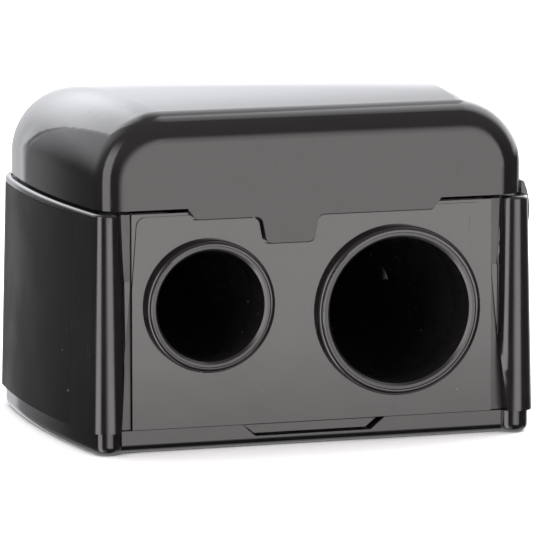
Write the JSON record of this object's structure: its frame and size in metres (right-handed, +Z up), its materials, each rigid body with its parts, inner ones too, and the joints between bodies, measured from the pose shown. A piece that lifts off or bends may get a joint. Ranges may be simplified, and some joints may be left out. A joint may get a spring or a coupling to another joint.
{
  "type": "pencil sharpener",
  "caption": "Two-hole cosmetic pencil sharpener: closed shavings box with a small and a large pencil hole in its front plate and a domed lid hinged at the back.",
  "frame": {"origin": "on the surface it stands on, under the middle of the closed object's box", "axes": "+X across the front to the right as seen by someone facing the holes, -Y out of the pencil holes, +Z up"},
  "size_m": [0.0408, 0.0332, 0.0283],
  "materials": {
    "smooth_plastic": "smooth moulded black",
    "inner_plastic": "as-moulded black, fine grain",
    "sleeve_plastic": "polished black with a thin bright rim",
    "grip_plastic": "fine spark-eroded texture, matte black",
    "plate_plastic": "satin-gloss black",
    "barrel_plastic": "smooth moulded black",
    "blade_steel": "ground steel",
    "screw_steel": "zinc-plated steel",
    "lid_plastic": "high-gloss black",
    "pin_steel": "drawn steel wire"
  },
  "bodies": {
    "body": {"base_tray": "smooth_plastic", "housing": "inner_plastic", "outer_sleeve": "sleeve_plastic", "grip_pad_left": "grip_plastic", "grip_pad_right": "grip_plastic", "front_plate": "plate_plastic", "small_barrel": "barrel_plastic", "large_barrel": "barrel_plastic", "small_blade": "blade_steel", "large_blade": "blade_steel", "blade_screws": "screw_steel", "hinge_pin": "pin_steel"},
    "lid": {"lid": "lid_plastic"}
  },
  "joints": [
    {"name": "lid_hinge", "type": "hinge", "parent": "body", "child": "lid", "pos_m": [0, 0.0156, 0.0189], "axis": [-1, 0, 0], "range_deg": [0, 105]}
  ]
}
